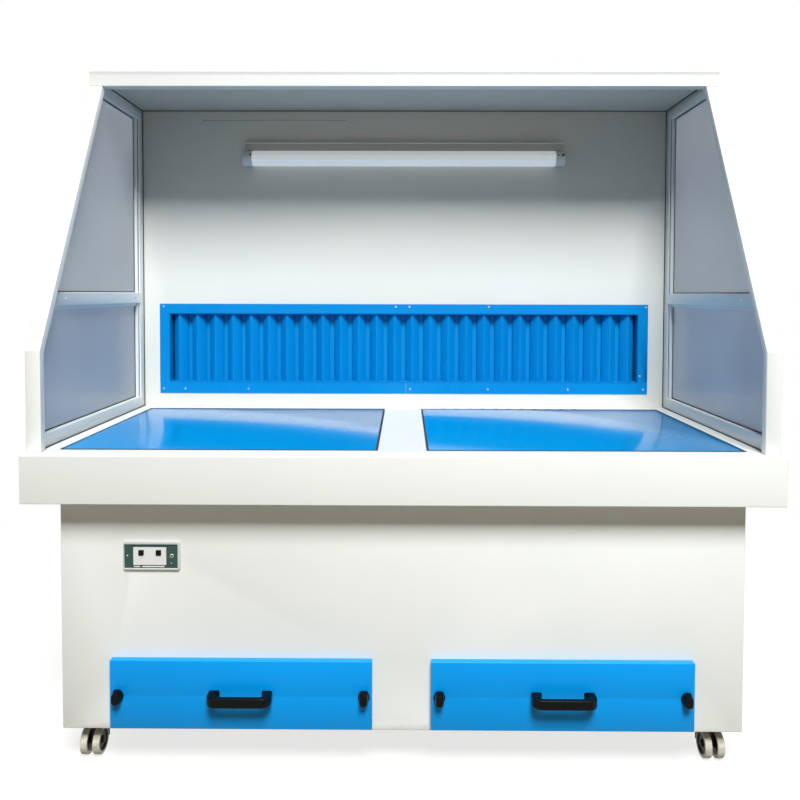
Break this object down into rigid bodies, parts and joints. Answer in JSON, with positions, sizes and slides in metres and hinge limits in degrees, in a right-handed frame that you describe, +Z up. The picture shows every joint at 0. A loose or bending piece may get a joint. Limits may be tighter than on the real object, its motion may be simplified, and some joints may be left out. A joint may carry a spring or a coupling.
{
  "type": "downdraft sanding bench",
  "caption": "Steel dust-extraction bench on swivel casters, with an open glazed hood, a baffled rear intake, drop-in work plates, latched dust drawers and an inner filter and fan.",
  "frame": {"origin": "on the floor, below the middle of the bounding box", "axes": "+X to the right of someone standing at the bench, front towards -Y, +Z up"},
  "size_m": [2, 1, 2],
  "materials": {
    "white_coat": "satin powder coat",
    "blue_coat": "glossy powder coat",
    "pane": "slightly frosted",
    "black_plastic": "satin",
    "black_metal": "satin",
    "white_plastic": "satin",
    "green_plastic": "matte",
    "tread": "matte",
    "zinc": "galvanised",
    "filter_media": "matte",
    "motor_coat": "satin"
  },
  "bodies": {
    "bench": {"cabinet_shell": "white_coat", "worktop_frame": "white_coat", "side_frame_left": "white_coat", "side_frame_right": "white_coat", "pane_lower_left": "pane", "pane_upper_left": "pane", "pane_lower_right": "pane", "pane_upper_right": "pane", "back_panel": "white_coat", "rear_housing": "white_coat", "roof_cover": "white_coat", "ceiling_liner": "white_coat", "louvre_frame": "blue_coat", "front_blade_row": "blue_coat", "rear_blade_row": "blue_coat", "light_base": "white_coat", "light_diffuser": "white_plastic", "control_panel": "green_plastic", "control_module": "white_plastic", "drawer_runner_left_outer": "zinc", "drawer_runner_left_inner": "zinc", "drawer_runner_right_outer": "zinc", "drawer_runner_right_inner": "zinc", "filter_bulkhead": "zinc", "filter_cartridge_left": "filter_media", "filter_cartridge_right": "filter_media", "fan_housing": "zinc", "fan_motor": "motor_coat", "exhaust_grille": "white_coat", "caster_plate_front_left": "black_metal", "caster_plate_front_right": "black_metal", "caster_plate_rear_left": "black_metal", "caster_plate_rear_right": "black_metal"},
    "plate_left": {"work_plate_left": "blue_coat"},
    "plate_right": {"work_plate_right": "blue_coat"},
    "button_left": {"push_button_left": "black_plastic"},
    "button_right": {"push_button_right": "black_plastic"},
    "drawer_left": {"drawer_front_left": "blue_coat", "drawer_tray_left": "zinc", "drawer_handle_left": "black_plastic"},
    "drawer_right": {"drawer_front_right": "blue_coat", "drawer_tray_right": "zinc", "drawer_handle_right": "black_plastic"},
    "latch_left_outer": {"drawer_latch_left_outer": "black_plastic"},
    "latch_left_inner": {"drawer_latch_left_inner": "black_plastic"},
    "latch_right_outer": {"drawer_latch_right_outer": "black_plastic"},
    "latch_right_inner": {"drawer_latch_right_inner": "black_plastic"},
    "impeller": {"fan_wheel": "zinc"},
    "fork_front_left": {"caster_fork_front_left": "black_metal"},
    "fork_front_right": {"caster_fork_front_right": "black_metal"},
    "fork_rear_left": {"caster_fork_rear_left": "black_metal"},
    "fork_rear_right": {"caster_fork_rear_right": "black_metal"},
    "wheel_front_left_left": {"caster_wheel_front_left_left": "tread"},
    "wheel_front_left_right": {"caster_wheel_front_left_right": "tread"},
    "wheel_front_right_left": {"caster_wheel_front_right_left": "tread"},
    "wheel_front_right_right": {"caster_wheel_front_right_right": "tread"},
    "wheel_rear_left_left": {"caster_wheel_rear_left_left": "tread"},
    "wheel_rear_left_right": {"caster_wheel_rear_left_right": "tread"},
    "wheel_rear_right_left": {"caster_wheel_rear_right_left": "tread"},
    "wheel_rear_right_right": {"caster_wheel_rear_right_right": "tread"}
  },
  "joints": [
    {"name": "plate_left_lift", "type": "slide", "parent": "bench", "child": "plate_left", "axis": [0, 0, 1], "range_m": [0, 0.05]},
    {"name": "plate_right_lift", "type": "slide", "parent": "bench", "child": "plate_right", "axis": [0, 0, 1], "range_m": [0, 0.05]},
    {"name": "button_left_press", "type": "slide", "parent": "bench", "child": "button_left", "axis": [0, 1, 0], "range_m": [0, 0.002], "stiffness_N_per_m": 400, "springref_m": -0.001},
    {"name": "button_right_press", "type": "slide", "parent": "bench", "child": "button_right", "axis": [0, 1, 0], "range_m": [0, 0.002], "stiffness_N_per_m": 400, "springref_m": -0.001},
    {"name": "drawer_left_slide", "type": "slide", "parent": "bench", "child": "drawer_left", "axis": [0, -1, 0], "range_m": [0, 0.4]},
    {"name": "drawer_right_slide", "type": "slide", "parent": "bench", "child": "drawer_right", "axis": [0, -1, 0], "range_m": [0, 0.4]},
    {"name": "latch_left_outer_turn", "type": "hinge", "parent": "drawer_left", "child": "latch_left_outer", "pos_m": [-0.7655, -0.4503, 0.204], "axis": [0, -1, 0], "range_deg": [0, 90]},
    {"name": "latch_left_inner_turn", "type": "hinge", "parent": "drawer_left", "child": "latch_left_inner", "pos_m": [-0.1015, -0.4503, 0.204], "axis": [0, 1, 0], "range_deg": [0, 90]},
    {"name": "latch_right_outer_turn", "type": "hinge", "parent": "drawer_right", "child": "latch_right_outer", "pos_m": [0.7655, -0.4503, 0.204], "axis": [0, 1, 0], "range_deg": [0, 90]},
    {"name": "latch_right_inner_turn", "type": "hinge", "parent": "drawer_right", "child": "latch_right_inner", "pos_m": [0.1015, -0.4503, 0.204], "axis": [0, -1, 0], "range_deg": [0, 90]},
    {"name": "impeller_spin", "type": "hinge", "parent": "bench", "child": "impeller", "pos_m": [0, 0.3, 0.422], "axis": [1, 0, 0], "continuous": true},
    {"name": "fork_front_left_swivel", "type": "hinge", "parent": "bench", "child": "fork_front_left", "pos_m": [-0.862, -0.349, 0.0979], "axis": [0, 0, 1], "continuous": true},
    {"name": "fork_front_right_swivel", "type": "hinge", "parent": "bench", "child": "fork_front_right", "pos_m": [0.862, -0.349, 0.0979], "axis": [0, 0, 1], "continuous": true},
    {"name": "fork_rear_left_swivel", "type": "hinge", "parent": "bench", "child": "fork_rear_left", "pos_m": [-0.862, 0.42, 0.0979], "axis": [0, 0, 1], "continuous": true},
    {"name": "fork_rear_right_swivel", "type": "hinge", "parent": "bench", "child": "fork_rear_right", "pos_m": [0.862, 0.42, 0.0979], "axis": [0, 0, 1], "continuous": true},
    {"name": "wheel_front_left_left_spin", "type": "hinge", "parent": "fork_front_left", "child": "wheel_front_left_left", "pos_m": [-0.87925, -0.371, 0.0375], "axis": [1, 0, 0], "continuous": true},
    {"name": "wheel_front_left_right_spin", "type": "hinge", "parent": "fork_front_left", "child": "wheel_front_left_right", "pos_m": [-0.84475, -0.371, 0.0375], "axis": [1, 0, 0], "continuous": true},
    {"name": "wheel_front_right_left_spin", "type": "hinge", "parent": "fork_front_right", "child": "wheel_front_right_left", "pos_m": [0.84475, -0.371, 0.0375], "axis": [1, 0, 0], "continuous": true},
    {"name": "wheel_front_right_right_spin", "type": "hinge", "parent": "fork_front_right", "child": "wheel_front_right_right", "pos_m": [0.87925, -0.371, 0.0375], "axis": [1, 0, 0], "continuous": true},
    {"name": "wheel_rear_left_left_spin", "type": "hinge", "parent": "fork_rear_left", "child": "wheel_rear_left_left", "pos_m": [-0.87925, 0.398, 0.0375], "axis": [1, 0, 0], "continuous": true},
    {"name": "wheel_rear_left_right_spin", "type": "hinge", "parent": "fork_rear_left", "child": "wheel_rear_left_right", "pos_m": [-0.84475, 0.398, 0.0375], "axis": [1, 0, 0], "continuous": true},
    {"name": "wheel_rear_right_left_spin", "type": "hinge", "parent": "fork_rear_right", "child": "wheel_rear_right_left", "pos_m": [0.84475, 0.398, 0.0375], "axis": [1, 0, 0], "continuous": true},
    {"name": "wheel_rear_right_right_spin", "type": "hinge", "parent": "fork_rear_right", "child": "wheel_rear_right_right", "pos_m": [0.87925, 0.398, 0.0375], "axis": [1, 0, 0], "continuous": true}
  ]
}
